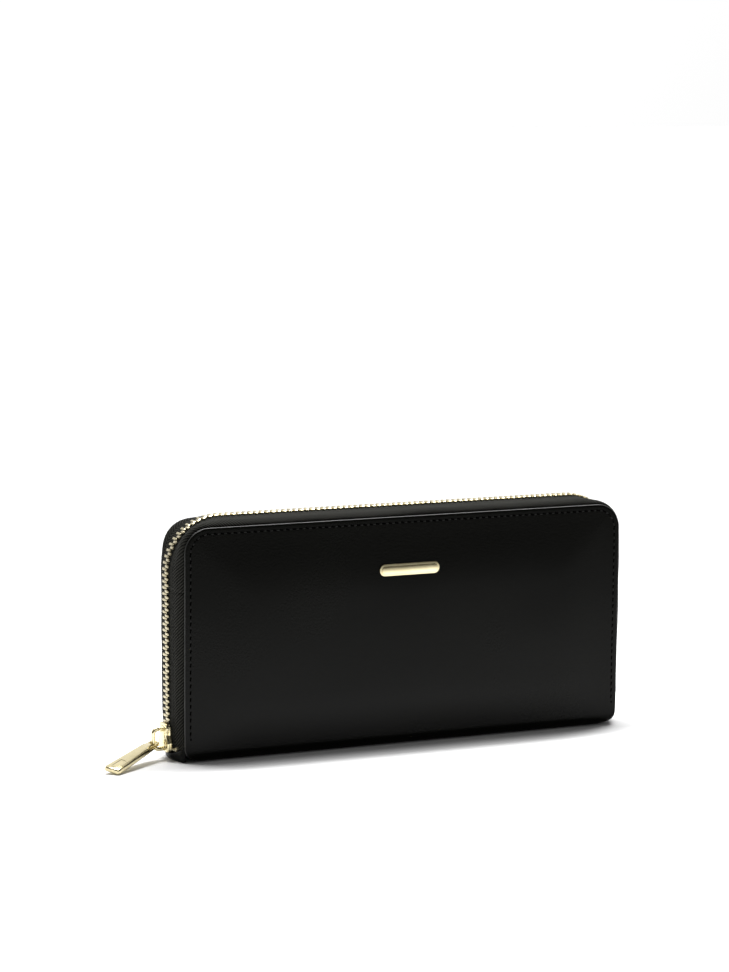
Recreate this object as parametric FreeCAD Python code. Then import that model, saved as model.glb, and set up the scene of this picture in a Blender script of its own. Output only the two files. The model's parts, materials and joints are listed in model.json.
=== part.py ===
"""Zip around wallet, standing on its spine, as separate solids (millimetres).

X runs along the wallet's length, Y through its thickness (the front is -Y) and
Z up.  The origin is the middle of the flat underside of the spine.
The zip follows the open edge: up the left end, along the top, down the right.
A section through the edge is drawn as (y, n), where n is the distance out from
the edge of the leather panels.
"""
import math
import os

import FreeCAD
import Part

V = FreeCAD.Vector

# ---- driving dimensions -------------------------------------------------
LENGTH = 190.0          # leather panel, end to end
HEIGHT = 92.0           # leather panel, floor to top edge
THICKNESS = 22.4        # outside of front leather to outside of back leather
TOP_RADIUS = 10.0       # top corners of the panels
BOTTOM_RADIUS = 6.0     # bottom corners of the spine
FOLD_RADIUS = 4.0       # fold of the leather from the spine into the panels

LEATHER = 1.2
BOARD = 0.75
LINING = 0.45
CARD = 0.35             # one card pocket layer
CARD_STEP = 0.38
CARD_HALF = 80.5
CARD_TOPS = (79.0, 68.0, 57.0, 46.0)

HINGE_Y = THICKNESS / 2 - LEATHER / 2
HINGE_Z = 5.1

CHAIN_OUT = 2.6         # zip chain centreline beyond the panel edge
CHAIN_RADIUS = 21.0     # the chain cuts the corners, wider than the panel
PITCH = 2.4             # between teeth on one side
TOOTH = 0.95            # tooth thickness along the chain
TAPE = 0.5
TAPE_LINE = [           # |y|, share of the way out to the chain, rise above that
    (9.6, 0.0, -7.0), (9.6, 0.0, -0.8), (9.45, 0.0, 0.5), (8.9, 0.1, 1.15),
    (7.8, 0.3, 1.35), (6.2, 0.6, 0.85), (4.2, 0.9, 0.2), (3.4, 1.0, 0.0),
    (1.7, 1.0, 0.0),
]
LEFT_TAPE_Z = 5.4
RIGHT_TAPE_Z = 13.0
FIRST_TOOTH_Z = 9.1
LAST_TOOTH_Z = 13.6
RIGHT_TEETH_Z = 30.0    # teeth below this on the right are a group of their own

SLIDER_Z = 9.3          # middle of the slider, closed
CROWN_X = 6.4           # crown centreline out from the chain centre
CROWN_WIRE = 1.4

PULLER_LENGTH = 29.4    # eyelet to tip
PULLER_WIDTH = (4.0, 5.9)
PULLER_THICK = 2.1
PULLER_YAW = 36.4
PULLER_PITCH = 10.0
PULLER_ROLL = 12.0
EYELET_Z = 6.6

POCKET_HALF = 82.0      # coin pocket
POCKET_WALL = 0.4
POCKET_OUT = 3.05
POCKET_BOTTOM = 2.9
POCKET_TOP = 67.0
COIN_ZIP_Z = 68.8
COIN_SCALE = 0.56
COIN_PITCH = 1.5
COIN_HALF = 79.0
COIN_SLIDER_X = -73.0
COIN_PIN_Z = 71.6
COIN_PULLER = 12.0
COIN_TILT = 6.0

ORNAMENT = (26.0, 4.8, 0.9)
ORNAMENT_AT = (-0.1, 71.1)

SIDES = {"front": -1, "back": 1}
corner_x = LENGTH / 2 - TOP_RADIUS
corner_z = HEIGHT - TOP_RADIUS
chain_x = LENGTH / 2 + CHAIN_OUT
bend_x = chain_x - CHAIN_RADIUS              # centre of the chain's corners
bend_z = HEIGHT + CHAIN_OUT - CHAIN_RADIUS


# ---- helpers ------------------------------------------------------------
def face(points):
    return Part.Face(Part.makePolygon([V(*p) for p in points] + [V(*points[0])]))


def box(x, y, z):
    return Part.makeBox(x[1] - x[0], y[1] - y[0], z[1] - z[0], V(x[0], y[0], z[0]))


def fused(shapes):
    whole = shapes[0]
    for shape in shapes[1:]:
        whole = whole.fuse(shape)
    return whole.removeSplitter()


def mirrored(shape):
    return shape.mirror(V(0, 0, 0), V(0, 1, 0))


def for_side(shape, side):
    """Shapes are drawn at +Y; the front one is the mirror image."""
    return shape if side > 0 else mirrored(shape)


def strip(points, thick):
    """Outline of a band of even thickness along a line of 2-D points."""
    normals = []
    for (ax, ay), (bx, by) in zip(points, points[1:]):
        length = math.hypot(bx - ax, by - ay)
        normals.append(((ay - by) / length, (bx - ax) / length))
    joined = [normals[0]]
    for (ax, ay), (bx, by) in zip(normals, normals[1:]):
        scale = 1 + ax * bx + ay * by
        joined.append(((ax + bx) / scale, (ay + by) / scale))
    joined.append(normals[-1])
    h = thick / 2
    one = [(x + nx * h, y + ny * h) for (x, y), (nx, ny) in zip(points, joined)]
    two = [(x - nx * h, y - ny * h) for (x, y), (nx, ny) in zip(points, joined)]
    return one + two[::-1]


def rounded_plate(half, low, high, low_radius, high_radius, y):
    """Plate in the XZ plane with rounded corners, between two Y values."""
    base = box((-half, half), y, (low, high))
    edges = []
    for edge in base.Edges:
        a = edge.Vertexes[0].Point
        b = edge.Vertexes[1].Point
        if abs(a.y - b.y) > 1e-6:
            edges.append((edge, abs(a.z - high) < 1e-6))
    if high_radius:
        base = base.makeFillet(high_radius, [e for e, top in edges if top])
    if low_radius:
        low_edges = []
        for edge in base.Edges:
            a = edge.Vertexes[0].Point
            b = edge.Vertexes[-1].Point
            level = abs(a.z - low) < 1e-6 and abs(b.z - low) < 1e-6
            if level and abs(a.y - b.y) > 1e-6 and abs(abs(a.x) - half) < 1e-6:
                low_edges.append(edge)
        base = base.makeFillet(low_radius, low_edges)
    return base


def panel(y_out, thick, inset, low):
    """One layer of a cover, following the outline of the leather."""
    return rounded_plate(
        LENGTH / 2 - inset, low, HEIGHT - inset, 0,
        max(TOP_RADIUS - inset, 1.0), (y_out - thick, y_out),
    )


def chain_point(s):
    """Place at a distance s along the chain, measured up from the floor on the
    left: x, z and the turn about Y from the left run's direction."""
    quarter = CHAIN_RADIUS * math.pi / 2
    if s <= bend_z:
        return -chain_x, s, 0.0
    s -= bend_z
    if s <= quarter:
        turn = s / CHAIN_RADIUS
        x = -bend_x - CHAIN_RADIUS * math.cos(turn)
        return x, bend_z + CHAIN_RADIUS * math.sin(turn), math.degrees(turn)
    s -= quarter
    if s <= 2 * bend_x:
        return -bend_x + s, HEIGHT + CHAIN_OUT, 90.0
    s -= 2 * bend_x
    if s <= quarter:
        turn = s / CHAIN_RADIUS
        x = bend_x + CHAIN_RADIUS * math.sin(turn)
        return x, bend_z + CHAIN_RADIUS * math.cos(turn), 90.0 + math.degrees(turn)
    return chain_x, bend_z - (s - quarter), 180.0


def chain_length():
    return 2 * (bend_z + CHAIN_RADIUS * math.pi / 2 + bend_x)


def chain_gap(turn):
    """How far the chain stands out from the panel's edge at a turn: least in
    the middle of a corner."""
    turn = math.radians(min(turn, 180 - turn))
    near = min(turn, math.pi / 2 - turn)
    flat = CHAIN_RADIUS - CHAIN_OUT
    step = corner_z - bend_z
    if flat * math.tan(near) <= step:
        return CHAIN_RADIUS - flat / math.cos(near)
    d = step * (math.cos(turn) + math.sin(turn))
    return CHAIN_RADIUS - d - math.sqrt(d * d - 2 * step * step + TOP_RADIUS ** 2)


def tooth(scale):
    """One tooth of the +Y half: a head past the centreline and two jaws that
    clamp the tape.  It points out along -X and the chain runs along Z."""
    outline = [
        (-0.85, -0.8), (-0.85, 0.8), (-0.3, 1.05), (0.9, 1.2), (2.9, 1.2),
        (2.9, 0.3), (1.6, 0.3), (1.6, -0.3), (2.9, -0.3), (2.9, -1.2),
        (0.9, -1.2), (-0.3, -1.05),
    ]
    flat = face([(-n * scale, y * scale, -TOOTH * scale / 2) for y, n in outline])
    return flat.extrude(V(0, 0, TOOTH * scale))


def placed(shape, x, y, z, turn):
    copy = shape.copy()
    copy.rotate(V(0, 0, 0), V(0, 1, 0), turn)
    copy.translate(V(x, y, z))
    return copy


def export(name, shape):
    shape.exportStep(os.path.join("parts", name + ".step"))


# ---- covers -------------------------------------------------------------
def cover_leather():
    slab = panel(THICKNESS / 2, LEATHER, 0, HINGE_Z)
    bead = Part.makeCylinder(LEATHER / 2, LENGTH, V(-LENGTH / 2, HINGE_Y, HINGE_Z), V(1, 0, 0))
    return fused([slab, bead])


def cover_board():
    return panel(THICKNESS / 2 - LEATHER - 0.05, BOARD, 8.0, 8.0)


def cover_lining():
    y = THICKNESS / 2 - LEATHER - 0.1 - BOARD
    return panel(y, LINING, 1.5, 6.5)


def card_panel(level):
    y = THICKNESS / 2 - LEATHER - 0.1 - BOARD - LINING - 0.04 - level * CARD_STEP
    return box((-CARD_HALF, CARD_HALF), (y - CARD, y), (7.0, CARD_TOPS[level]))


def arch(s):
    """How full the tape's arch is: it lies flatter down the right-hand end."""
    quarter = CHAIN_RADIUS * math.pi / 2
    past = s - (chain_length() - bend_z - quarter)
    return 1.0 - 0.4 * min(1.0, max(0.0, past / quarter))


def tape_section(s):
    """Outline of the tape's cross-section at a distance along the chain."""
    x, z, turn = chain_point(s)
    gap = chain_gap(turn)
    full = arch(s)
    line = [
        (y, share * gap + (rise * full if rise > 0 else rise)) for y, share, rise in TAPE_LINE
    ]
    out = V(-math.cos(math.radians(turn)), 0, math.sin(math.radians(turn)))
    points = [V(x, y, z) + out * (n - gap) for y, n in strip(line, TAPE)]
    return Part.makePolygon(points + [points[0]])


def zip_tape():
    """Sewn flat behind the leather edge, then arched out to the chain."""
    bend = [bend_z + CHAIN_RADIUS * math.pi / 2 * i / 14 for i in range(15)]
    stops = [LEFT_TAPE_Z] + bend + [chain_length() - s for s in reversed(bend)]
    stops.append(chain_length() - RIGHT_TAPE_Z)
    tape = Part.makeLoft([tape_section(s) for s in stops], True, True)
    mouth = box((-chain_x - 2, -chain_x + 2), (0, 3.2), (0, 8.5))
    return tape.cut(mouth)


def chain_half(first, last, offset):
    """Teeth of the +Y half whose place along the chain lies in a span."""
    shape = tooth(1.0)
    teeth = []
    s = FIRST_TOOTH_Z + offset
    while s < chain_length() - LAST_TOOTH_Z:
        if first <= s < last:
            x, z, turn = chain_point(s)
            teeth.append(placed(shape, x, 0, z, turn))
        s += PITCH
    return teeth


def open_teeth():
    """The two teeth of a half chain that stand apart in the slider's mouth."""
    shape = tooth(1.0)
    return [placed(shape, -chain_x, 1.35, 6.85, 0), placed(shape, -chain_x, 1.45, 4.6, 0)]


def zip_stop():
    """Metal clamp on the end of a tape, below the slider."""
    body = box((-98.1, -96.5), (7.0, 8.6), (3.7, 5.3))
    return body.makeChamfer(0.3, body.Edges)


# ---- spine --------------------------------------------------------------
def spine_leather():
    half = THICKNESS / 2
    top = HINGE_Z - LEATHER / 2 - 0.1
    outer = box((-LENGTH / 2, LENGTH / 2), (-half, half), (0, 2 * HINGE_Z))
    inner = box(
        (-LENGTH / 2 - 1, LENGTH / 2 + 1),
        (-half + LEATHER, half - LEATHER), (LEATHER, 3 * HINGE_Z),
    )

    def low_edges(shape, level):
        return [
            e for e in shape.Edges
            if abs(e.Vertexes[0].Point.x - e.Vertexes[-1].Point.x) > LENGTH / 2
            and abs(e.Vertexes[0].Point.z - level) < 1e-6
        ]

    outer = outer.makeFillet(FOLD_RADIUS, low_edges(outer, 0))
    inner = inner.makeFillet(FOLD_RADIUS - LEATHER, low_edges(inner, LEATHER))
    plan = rounded_plate(LENGTH / 2, 0, 4 * HINGE_Z, BOTTOM_RADIUS, 0, (-half - 1, half + 1))
    above = box((-LENGTH, LENGTH), (-half - 1, half + 1), (top, 5 * HINGE_Z))
    return outer.cut(inner).common(plan).cut(above)


def spine_lining():
    return box((-88, 88), (-6.8, 6.8), (LEATHER + 0.05, LEATHER + 0.05 + LINING))


def end_tab(direction, depth, low, high):
    """Leather tab folded over the ends of the zip tapes."""
    half = [(9.3, 0.2), (9.2, 0.9), (8.4, 2.7), (6.8, 4.3), (4.4, 5.6)]
    section = half + [(-y, n) for y, n in reversed(half)]
    base = face([
        (direction * (LENGTH / 2 + 0.2 + (n - 0.2) * depth), y, low) for y, n in section
    ])
    return base.extrude(V(0, 0, high - low))


def gusset(right):
    """Pleat between a cover and the coin pocket, folded inwards."""
    line = [(-89.0, 8.4), (-85.6, 8.4), (-83.2, 7.0), (-74.5, 5.2), (-83.4, 3.7)]
    band = face([(x, y, 6.0) for x, y in strip(line, 0.35)]).extrude(V(0, 0, 66.0))
    return band.mirror(V(0, 0, 0), V(1, 0, 0)) if right else band


# ---- coin pocket --------------------------------------------------------
def pocket_wall():
    return box(
        (-POCKET_HALF, POCKET_HALF), (POCKET_OUT - POCKET_WALL, POCKET_OUT),
        (POCKET_BOTTOM, POCKET_TOP),
    )


def pocket_edge():
    """Strip that closes the pocket along its bottom and both ends."""
    y = (-POCKET_OUT + POCKET_WALL, POCKET_OUT - POCKET_WALL)
    whole = box((-POCKET_HALF, POCKET_HALF), y, (POCKET_BOTTOM, POCKET_TOP - 4))
    inside = box((-POCKET_HALF + 0.5, POCKET_HALF - 0.5), y, (POCKET_BOTTOM + 0.5, POCKET_TOP))
    return whole.cut(inside)


def coin_tape():
    z = COIN_ZIP_Z
    line = [(1.1, z), (2.9, z), (3.27, z - 0.6), (3.27, z - 5.3)]
    band = face([(-COIN_HALF, y, z) for y, z in strip(line, 0.3)])
    return band.extrude(V(2 * COIN_HALF, 0, 0))


def coin_teeth(offset):
    shape = tooth(COIN_SCALE)
    teeth = []
    x = COIN_SLIDER_X + 0.2 + offset
    while x < COIN_HALF - 1:
        teeth.append(placed(shape, x, 0, COIN_ZIP_Z, 90))
        x += COIN_PITCH
    return teeth


# ---- sliders ------------------------------------------------------------
SLIDER_PLAN = [
    (4.6, -5.6), (5.2, -4.7), (5.2, -2.0), (4.1, 1.0), (4.1, 4.7), (3.2, 5.6),
]
SLIDER_LIP = [
    (5.2, -4.7), (5.2, -2.0), (4.1, 1.0), (4.1, 4.7),
    (3.35, 4.7), (3.35, 1.1), (4.45, -2.0), (4.45, -4.7),
]
SLIDER_POST = [(0.45, -5.3), (0.45, -2.2), (0.0, -1.2), (-0.45, -2.2), (-0.45, -5.3)]


def slider_body(scale):
    """Two plates joined by the post in the mouth, with lips round the teeth.
    It points out along -X and the mouth is at its lower end."""
    k = scale
    gap = 1.5 * k
    thick = 1.0 * max(k, 0.7)
    slot = 0.45 if k == 1 else 0.3
    plan = SLIDER_PLAN + [(-y, z) for y, z in reversed(SLIDER_PLAN)]
    parts = []
    for x in (-gap - thick, gap):
        parts.append(face([(x, y * k, z * k) for y, z in plan]).extrude(V(thick, 0, 0)))
    for sign in (-1, 1):
        for x in (-gap, slot):
            lip = face([(x, sign * y * k, z * k) for y, z in SLIDER_LIP])
            parts.append(lip.extrude(V(gap - slot, 0, 0)))
    post = face([(-gap, y * k, z * k) for y, z in SLIDER_POST])
    parts.append(post.extrude(V(2 * gap, 0, 0)))
    return fused(parts)


def slider_crown():
    """Open C-shaped loop on the slider that carries the puller."""
    bend = 1.1
    foot = -2.5
    low = -4.9
    high = 2.9
    out = -CROWN_X
    r = bend * (1 - math.sqrt(0.5))
    points = [
        (foot, low), (out + bend, low), (out, low + bend),
        (out, high - bend), (out + bend, high), (foot - 0.55, high),
    ]
    p = [V(x, 0, z) for x, z in points]
    path = Part.Wire([
        Part.LineSegment(p[0], p[1]).toShape(),
        Part.Arc(p[1], V(out + r, 0, low + r), p[2]).toShape(),
        Part.LineSegment(p[2], p[3]).toShape(),
        Part.Arc(p[3], V(out + r, 0, high - r), p[4]).toShape(),
        Part.LineSegment(p[4], p[5]).toShape(),
    ])
    ring = Part.Wire([Part.Circle(p[0], V(1, 0, 0), CROWN_WIRE / 2).toShape()])
    return path.makePipeShell([ring], True, True)


def puller():
    """Tapered bar with an eyelet; its length runs along -X, flat side up."""
    narrow, wide = PULLER_WIDTH
    start = 1.6
    plan = [
        (-start, -narrow / 2), (-start, narrow / 2),
        (-PULLER_LENGTH + 0.5, wide / 2), (-PULLER_LENGTH, wide / 2 - 0.5),
        (-PULLER_LENGTH, -wide / 2 + 0.5), (-PULLER_LENGTH + 0.5, -wide / 2),
    ]
    h = PULLER_THICK / 2
    bar = face([(x, y, -h) for x, y in plan]).extrude(V(0, 0, PULLER_THICK))
    rim = [
        e for e in bar.Edges
        if abs(abs(e.CenterOfMass.z) - h) < 1e-6 and e.CenterOfMass.x < -start - 0.1
    ]
    bar = bar.makeChamfer(0.3, rim)
    tab = box((-2.6, 2.2), (-2.0, 2.0), (-0.6, 0.6))
    tab = tab.makeFillet(1.7, [
        e for e in tab.Edges
        if abs(e.CenterOfMass.x - 2.2) < 1e-6 and abs(e.CenterOfMass.z) < 1e-6
    ])
    hole = box((-1.5, 1.5), (-1.1, 1.1), (-3, 3))
    hole = hole.makeFillet(1.0, [e for e in hole.Edges if abs(e.CenterOfMass.z) < 1e-6])
    slot = Part.makeCylinder(1.1, 1.0, V(-PULLER_LENGTH + 3.4, 0, h - 0.3), V(0, 0, 1))
    slot = slot.fuse(slot.copy().translated(V(4.2, 0, 0)))
    slot = slot.fuse(box(
        (-PULLER_LENGTH + 3.4, -PULLER_LENGTH + 7.6), (-1.1, 1.1), (h - 0.3, h + 0.7),
    ))
    ramp = face([(-1.6, -2.5, h + 0.01), (-4.0, -2.5, h + 0.01), (-1.6, -2.5, 0.6)])
    ramp = ramp.extrude(V(0, 5.0, 0))
    ramps = ramp.fuse(ramp.mirror(V(0, 0, 0), V(0, 0, 1)))
    return fused([bar.cut(ramps), tab]).cut(hole).cut(slot)


def puller_in_place():
    shape = puller()
    shape.rotate(V(0, 0, 0), V(1, 0, 0), PULLER_ROLL)
    shape.rotate(V(0, 0, 0), V(0, 1, 0), -PULLER_PITCH)
    shape.rotate(V(0, 0, 0), V(0, 0, 1), PULLER_YAW)
    shape.translate(V(-chain_x - CROWN_X, 0, EYELET_Z))
    return shape


def coin_slider():
    """Slider with two ears and a cross pin; it runs along X, mouth to the left."""
    body = placed(slider_body(COIN_SCALE), COIN_SLIDER_X, 0, COIN_ZIP_Z, 90)
    top = COIN_ZIP_Z + 1.5 * COIN_SCALE + 0.7
    ears = []
    for y in ((-1.5, -0.95), (0.95, 1.5)):
        ear = box((COIN_SLIDER_X - 1.0, COIN_SLIDER_X + 1.0), y, (top - 0.3, COIN_PIN_Z))
        round_end = Part.makeCylinder(1.0, 0.55, V(COIN_SLIDER_X, y[0], COIN_PIN_Z), V(0, 1, 0))
        ears += [ear, round_end]
    hole = Part.makeCylinder(0.45, 6, V(COIN_SLIDER_X, -3, COIN_PIN_Z), V(0, 1, 0))
    return fused([body] + ears).cut(hole)


def coin_pin():
    return Part.makeCylinder(0.4, 3.2, V(COIN_SLIDER_X, -1.6, COIN_PIN_Z), V(0, 1, 0))


def coin_puller():
    """Small tongue with a knuckle round the pin, lying along the chain."""
    knuckle = Part.makeCylinder(0.95, 1.4, V(0, -0.7, 0), V(0, 1, 0))
    neck = box((0.4, 2.4), (-0.7, 0.7), (-0.4, 0.4))
    plan = [(2.2, -1.1), (COIN_PULLER - 0.8, -1.7), (COIN_PULLER, -1.0),
            (COIN_PULLER, 1.0), (COIN_PULLER - 0.8, 1.7), (2.2, 1.1)]
    tongue = face([(x, y, -0.4) for x, y in plan]).extrude(V(0, 0, 0.8))
    bore = Part.makeCylinder(0.6, 4, V(0, -2, 0), V(0, 1, 0))
    eye = Part.makeCylinder(0.6, 4, V(COIN_PULLER - 2.4, 0, -2), V(0, 0, 1))
    shape = fused([knuckle, neck, tongue]).cut(bore).cut(eye)
    return placed(shape, COIN_SLIDER_X, 0, COIN_PIN_Z, COIN_TILT)


def ornament():
    """Plain metal bar fixed to the front cover."""
    length, height, thick = ORNAMENT
    x, z = ORNAMENT_AT
    y = -THICKNESS / 2
    bar = box((x - length / 2, x + length / 2), (y - thick, y), (z - height / 2, z + height / 2))
    bar = bar.makeFillet(height / 2 - 0.05, [
        e for e in bar.Edges
        if abs(e.CenterOfMass.y - y + thick / 2) < 1e-6
    ])
    return bar.makeChamfer(0.25, [
        e for e in bar.Edges if abs(e.BoundBox.YMax - y + thick) < 1e-6
    ])


# ---- write the parts ----------------------------------------------------
os.makedirs("parts", exist_ok=True)

for name, side in SIDES.items():
    export(name + "_leather", for_side(cover_leather(), side))
    export(name + "_board", for_side(cover_board(), side))
    export(name + "_lining", for_side(cover_lining(), side))
    for level in range(len(CARD_TOPS)):
        export("%s_card_pocket_%d" % (name, level + 1), for_side(card_panel(level), side))
    export(name + "_zip_tape", for_side(zip_tape(), side))
    offset = 0.0 if side < 0 else PITCH / 2
    low_right = chain_length() - RIGHT_TEETH_Z
    left = chain_half(0, bend_z, offset) + open_teeth()
    rest = chain_half(bend_z, low_right, offset)
    right = chain_half(low_right, 1000, offset)
    export(name + "_teeth_left", Part.makeCompound([for_side(t, side) for t in left]))
    export(name + "_teeth", Part.makeCompound([for_side(t, side) for t in rest]))
    export(name + "_teeth_right", Part.makeCompound([for_side(t, side) for t in right]))
    export(name + "_zip_stop", for_side(zip_stop(), side))
    export("gusset_%s_left" % name, for_side(gusset(False), side))
    export("gusset_%s_right" % name, for_side(gusset(True), side))
    export("coin_pocket_%s" % name, for_side(pocket_wall(), side))
    export("coin_tape_%s" % name, for_side(coin_tape(), side))
    coins = coin_teeth(0.0 if side < 0 else COIN_PITCH / 2)
    export("coin_teeth_%s" % name, Part.makeCompound([for_side(t, side) for t in coins]))

export("spine_leather", spine_leather())
export("spine_lining", spine_lining())
export("end_tab_left", end_tab(-1, 0.5, 0.3, 3.0))
export("end_tab_right", end_tab(1, 0.6, 2.4, 12.4))
export("coin_pocket_edge", pocket_edge())
export("front_ornament", ornament())
export("slider_body", slider_body(1.0).translated(V(-chain_x, 0, SLIDER_Z)))
export("slider_crown", slider_crown().translated(V(-chain_x, 0, SLIDER_Z)))
export("puller", puller_in_place())
export("coin_slider", coin_slider())
export("coin_slider_pin", coin_pin())
export("coin_puller", coin_puller())
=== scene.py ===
import json
import math
import random

import bmesh
import bpy
from mathutils import Matrix, Vector, noise


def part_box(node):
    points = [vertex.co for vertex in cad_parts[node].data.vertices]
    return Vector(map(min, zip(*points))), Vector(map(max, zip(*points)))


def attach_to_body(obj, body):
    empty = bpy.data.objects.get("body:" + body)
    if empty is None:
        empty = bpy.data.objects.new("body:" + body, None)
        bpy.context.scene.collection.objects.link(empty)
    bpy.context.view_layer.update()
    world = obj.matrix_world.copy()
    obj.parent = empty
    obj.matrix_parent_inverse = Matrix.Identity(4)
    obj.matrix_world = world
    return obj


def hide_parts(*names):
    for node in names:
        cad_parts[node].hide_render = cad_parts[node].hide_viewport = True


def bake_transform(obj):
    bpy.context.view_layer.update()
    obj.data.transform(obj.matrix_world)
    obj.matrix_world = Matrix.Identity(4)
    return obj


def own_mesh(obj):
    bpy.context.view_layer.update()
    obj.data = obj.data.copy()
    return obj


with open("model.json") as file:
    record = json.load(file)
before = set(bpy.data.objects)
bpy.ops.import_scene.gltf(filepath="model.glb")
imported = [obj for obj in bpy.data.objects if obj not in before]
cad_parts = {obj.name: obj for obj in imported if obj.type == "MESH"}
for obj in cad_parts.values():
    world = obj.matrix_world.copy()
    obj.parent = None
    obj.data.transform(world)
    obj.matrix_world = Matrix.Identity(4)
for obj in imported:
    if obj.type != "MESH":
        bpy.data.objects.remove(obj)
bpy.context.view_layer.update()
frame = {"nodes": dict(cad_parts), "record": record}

MM = 0.001

# ---- dimensions, mm ------------------------------------------------------
HALF = 95.0            # half the leather panel's length
TOP = 92.0
OUT_Y = 11.2           # outer face of the flat leather
R_TOP = 10.0
R_LOW = 6.0
FOLD = 4.0             # radius of the fold at the spine
LEATHER = 1.2
SEAM_INSET = 2.35
SEAM_PITCH = 2.7
CHAIN_OUT = 2.6
CHAIN_RADIUS = 21.0    # the chain cuts the corners
PITCH = 2.4
TOOTH = 0.98
FIRST_TOOTH = 9.1
LAST_TOOTH = 13.6
CORNER_X = HALF - R_TOP
CORNER_Z = TOP - R_TOP
CHAIN_X = HALF + CHAIN_OUT
BEND_X = CHAIN_X - CHAIN_RADIUS
BEND_Z = TOP + CHAIN_OUT - CHAIN_RADIUS
QUARTER = CHAIN_RADIUS * math.pi / 2
CHAIN_LENGTH = 2 * (BEND_Z + QUARTER + BEND_X)
TAPE_FIRST = 5.4
TAPE_LAST = CHAIN_LENGTH - 13.0
SPLIT_S = 67.3         # the pieces of the slider's run end here
SLIDER_Z = 9.3
CROWN_OUT = 6.4
EYELET_Z = 6.6
COIN_SCALE = 0.56
COIN_PITCH = 1.5
COIN_X = -73.0
COIN_Z = 68.8
COIN_PIN_Z = 71.6

SIDES = (("front", -1), ("back", 1))
HIDE_SEED = {-1: 3.0, 1: 31.0}
SEAM_SEED = {-1: 101, 1: 102}


# ---- mesh helpers --------------------------------------------------------
def mesh_object(name, verts, faces, mat, smooth=True, uvs=None):
    me = bpy.data.meshes.new(name)
    me.from_pydata([Vector(v) * MM for v in verts], [], faces)
    me.validate()
    if uvs is not None:
        layer = me.uv_layers.new(name="UVMap")
        for loop in me.loops:
            layer.data[loop.index].uv = uvs[loop.vertex_index]
    for p in me.polygons:
        p.use_smooth = smooth
    me.materials.append(mat)
    ob = bpy.data.objects.new(name, me)
    bpy.context.scene.collection.objects.link(ob)
    return ob


def fix_normals(ob, merge=0.0):
    bm = bmesh.new()
    bm.from_mesh(ob.data)
    if merge:
        bmesh.ops.remove_doubles(bm, verts=bm.verts, dist=merge)
    bmesh.ops.recalc_face_normals(bm, faces=bm.faces)
    bm.to_mesh(ob.data)
    bm.free()


def sharp(ob, degrees=40):
    """Smooth shading that keeps edges sharper than an angle."""
    bm = bmesh.new()
    bm.from_mesh(ob.data)
    for e in bm.edges:
        e.smooth = len(e.link_faces) == 2 and e.calc_face_angle(0) < math.radians(degrees)
    bm.to_mesh(ob.data)
    bm.free()


class Builder:
    """Gathers bevelled solids into one mesh."""

    def __init__(self):
        self.verts = []
        self.faces = []

    def add(self, verts, faces, place=None):
        base = len(self.verts)
        self.verts += [tuple(place @ Vector(v)) if place else tuple(v) for v in verts]
        self.faces += [[base + i for i in f] for f in faces]

    def object(self, name, mat, smooth_angle=40):
        ob = mesh_object(name, self.verts, self.faces, mat)
        fix_normals(ob)
        sharp(ob, smooth_angle)
        return ob


def prism(points, axis, low, high, bevel=0.0, segments=2):
    """A solid from a 2-D outline, pushed along an axis, with rounded edges.
    axis 0: points are (y, z); 1: (x, z); 2: (x, y)."""
    bm = bmesh.new()
    rings = []
    for level in (low, high):
        ring = []
        for a, b in points:
            co = [a, b]
            co.insert(axis, level)
            ring.append(bm.verts.new(co))
        rings.append(ring)
    n = len(points)
    bm.faces.new(rings[0])
    bm.faces.new(rings[1][::-1])
    for i in range(n):
        j = (i + 1) % n
        bm.faces.new((rings[0][i], rings[0][j], rings[1][j], rings[1][i]))
    bmesh.ops.recalc_face_normals(bm, faces=bm.faces)
    if bevel:
        bmesh.ops.bevel(bm, geom=list(bm.edges), offset=bevel, segments=segments,
                        profile=0.6, affect="EDGES", clamp_overlap=True)
    bm.verts.index_update()
    verts = [v.co.copy() for v in bm.verts]
    faces = [[v.index for v in f.verts] for f in bm.faces]
    bm.free()
    return verts, faces


def arc(cx, cy, r, a0, a1, n):
    """Points on an arc, angles in degrees."""
    out = []
    for i in range(n + 1):
        a = math.radians(a0 + (a1 - a0) * i / n)
        out.append((cx + r * math.cos(a), cy + r * math.sin(a)))
    return out


def stadium(x0, x1, z0, z1, r, n=6):
    return (arc(x1 - r, z1 - r, r, 90, 0, n) + arc(x1 - r, z0 + r, r, 0, -90, n)
            + arc(x0 + r, z0 + r, r, -90, -180, n) + arc(x0 + r, z1 - r, r, 180, 90, n))


def smooth01(t):
    t = min(1.0, max(0.0, t))
    return t * t * (3 - 2 * t)


def turns(n):
    """Angles of n points spaced evenly round a circle."""
    return [2 * math.pi * k / n for k in range(n)]


def with_tangents(points):
    """Each 2-D point of a line, with the line's unit direction there."""
    out = []
    for i, p in enumerate(points):
        ax, ay = points[max(0, i - 1)]
        bx, by = points[min(len(points) - 1, i + 1)]
        length = math.hypot(bx - ax, by - ay)
        out.append((*p, (bx - ax) / length, (by - ay) / length))
    return out


def grid_faces(rows, cols, closed=False):
    """Quads between rows of points that run round in loops."""
    return [(i * cols + j, i * cols + (j + 1) % cols,
             (i + 1) % rows * cols + (j + 1) % cols, (i + 1) % rows * cols + j)
            for i in range(rows if closed else rows - 1) for j in range(cols)]


def loft(rings):
    """Closed sections joined in order and capped at both ends."""
    n = len(rings[0])
    verts = [v for ring in rings for v in ring]
    caps = [tuple(range(n)), tuple(len(verts) - 1 - j for j in range(n))]
    return verts, grid_faces(len(rings), n) + caps


def sweep(name, mat, rings, uvs=None):
    ob = mesh_object(name, *loft(rings), mat, uvs=uvs)
    fix_normals(ob)
    return ob


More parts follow.
